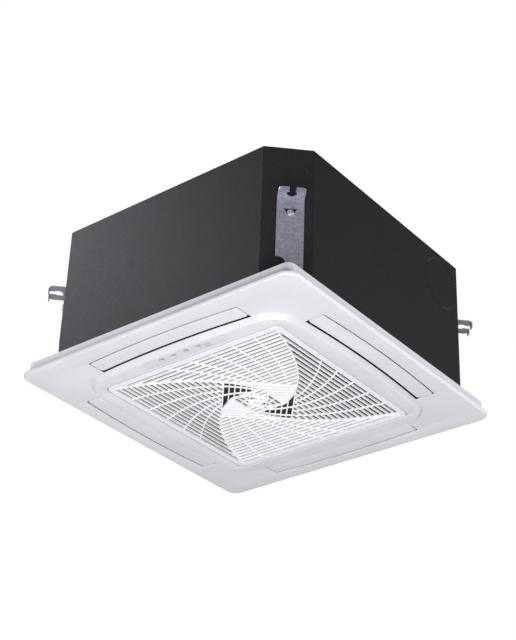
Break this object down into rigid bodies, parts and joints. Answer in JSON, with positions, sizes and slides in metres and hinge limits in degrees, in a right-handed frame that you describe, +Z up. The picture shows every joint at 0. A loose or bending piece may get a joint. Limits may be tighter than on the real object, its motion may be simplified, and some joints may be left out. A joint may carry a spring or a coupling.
{
  "type": "ceiling cassette air conditioner",
  "caption": "Compact four-way ceiling cassette: chamfered steel cabinet, white panel with a whirl-patterned intake grille that hinges down, a turbo fan and tilting air vanes.",
  "frame": {"origin": "under the middle of the panel, level with the island's lowest face", "axes": "+Z up towards the ceiling, -Y towards the display side"},
  "size_m": [0.62, 0.62, 0.304],
  "materials": {
    "charcoal_steel": "fine-textured charcoal coating",
    "galvanised_steel": "galvanised, with soft spangle",
    "white_plastic": "satin moulded, cool white",
    "grey_plastic": "moulded",
    "black_plastic": "moulded, fine grain",
    "foam": "expanded bead foam",
    "aluminium": "thin fins, edge on",
    "copper": "drawn copper tube",
    "brass": "machined",
    "circuit_green": "solder mask",
    "filter_grey": "woven net and closed-cell foam"
  },
  "bodies": {
    "unit": {"top_plate": "charcoal_steel", "side_panel_front": "charcoal_steel", "side_panel_right": "charcoal_steel", "side_panel_back": "charcoal_steel", "side_panel_left": "charcoal_steel", "corner_panel_front_left": "charcoal_steel", "corner_panel_front_right": "charcoal_steel", "corner_panel_back_right": "charcoal_steel", "corner_panel_back_left": "charcoal_steel", "hanger_bracket_front_left": "galvanised_steel", "hanger_bracket_front_right": "galvanised_steel", "hanger_bracket_back_right": "galvanised_steel", "hanger_bracket_back_left": "galvanised_steel", "pump_bracket": "galvanised_steel", "coil_end_plate_left": "galvanised_steel", "coil_end_plate_back": "galvanised_steel", "pipe_cover_plate": "galvanised_steel", "fan_motor": "galvanised_steel", "motor_mount": "galvanised_steel", "control_box": "galvanised_steel", "control_box_cover": "galvanised_steel", "wall_insulation": "foam", "roof_insulation": "foam", "drain_pan": "foam", "drain_bung": "black_plastic", "drain_hose": "black_plastic", "terminal_block": "black_plastic", "vane_motor_front": "black_plastic", "vane_motor_right": "black_plastic", "vane_motor_back": "black_plastic", "vane_motor_left": "black_plastic", "drain_pump": "grey_plastic", "float_stem": "grey_plastic", "drain_outlet": "grey_plastic", "infrared_window": "grey_plastic", "bell_mouth": "white_plastic", "panel_frame": "white_plastic", "display_window": "white_plastic", "latch_housing_left": "white_plastic", "latch_housing_right": "white_plastic", "coil_fin_pack": "aluminium", "gas_pipe": "copper", "liquid_pipe": "copper", "gas_flare_nut": "brass", "liquid_flare_nut": "brass", "circuit_board": "circuit_green", "display_board": "circuit_green", "panel_gasket": "filter_grey"},
    "fan": {"fan_wheel": "black_plastic", "motor_shaft": "galvanised_steel", "fan_nut": "galvanised_steel"},
    "grille": {"intake_grille": "white_plastic", "air_filter": "filter_grey"},
    "float": {"pump_float": "black_plastic"},
    "plunger_left": {"latch_plunger_left": "grey_plastic"},
    "plunger_right": {"latch_plunger_right": "grey_plastic"},
    "vane_front": {"vane_front": "white_plastic"},
    "vane_right": {"vane_right": "white_plastic"},
    "vane_back": {"vane_back": "white_plastic"},
    "vane_left": {"vane_left": "white_plastic"}
  },
  "joints": [
    {"name": "fan_spin", "type": "hinge", "parent": "unit", "child": "fan", "pos_m": [0, 0, 0.2], "axis": [0, 0, 1], "continuous": true},
    {"name": "vane_front_tilt", "type": "hinge", "parent": "unit", "child": "vane_front", "pos_m": [0, -0.252, 0.015], "axis": [1, 0, 0], "range_deg": [0, 65]},
    {"name": "vane_right_tilt", "type": "hinge", "parent": "unit", "child": "vane_right", "pos_m": [0.252, 0, 0.015], "axis": [0, 1, 0], "range_deg": [0, 65]},
    {"name": "vane_back_tilt", "type": "hinge", "parent": "unit", "child": "vane_back", "pos_m": [0, 0.252, 0.015], "axis": [-1, 0, 0], "range_deg": [0, 65]},
    {"name": "vane_left_tilt", "type": "hinge", "parent": "unit", "child": "vane_left", "pos_m": [-0.252, 0, 0.015], "axis": [0, -1, 0], "range_deg": [0, 65]},
    {"name": "grille_hinge", "type": "hinge", "parent": "unit", "child": "grille", "pos_m": [0, 0.195, 0.0036], "axis": [1, 0, 0], "range_deg": [0, 90]},
    {"name": "latch_push_left", "type": "slide", "parent": "unit", "child": "plunger_left", "axis": [0, 0, 1], "range_m": [0, 0.003], "stiffness_N_per_m": 200, "springref_m": -0.002},
    {"name": "latch_push_right", "type": "slide", "parent": "unit", "child": "plunger_right", "axis": [0, 0, 1], "range_m": [0, 0.003], "stiffness_N_per_m": 200, "springref_m": -0.002},
    {"name": "float_lift", "type": "slide", "parent": "unit", "child": "float", "axis": [0, 0, 1], "range_m": [0, 0.008]}
  ]
}
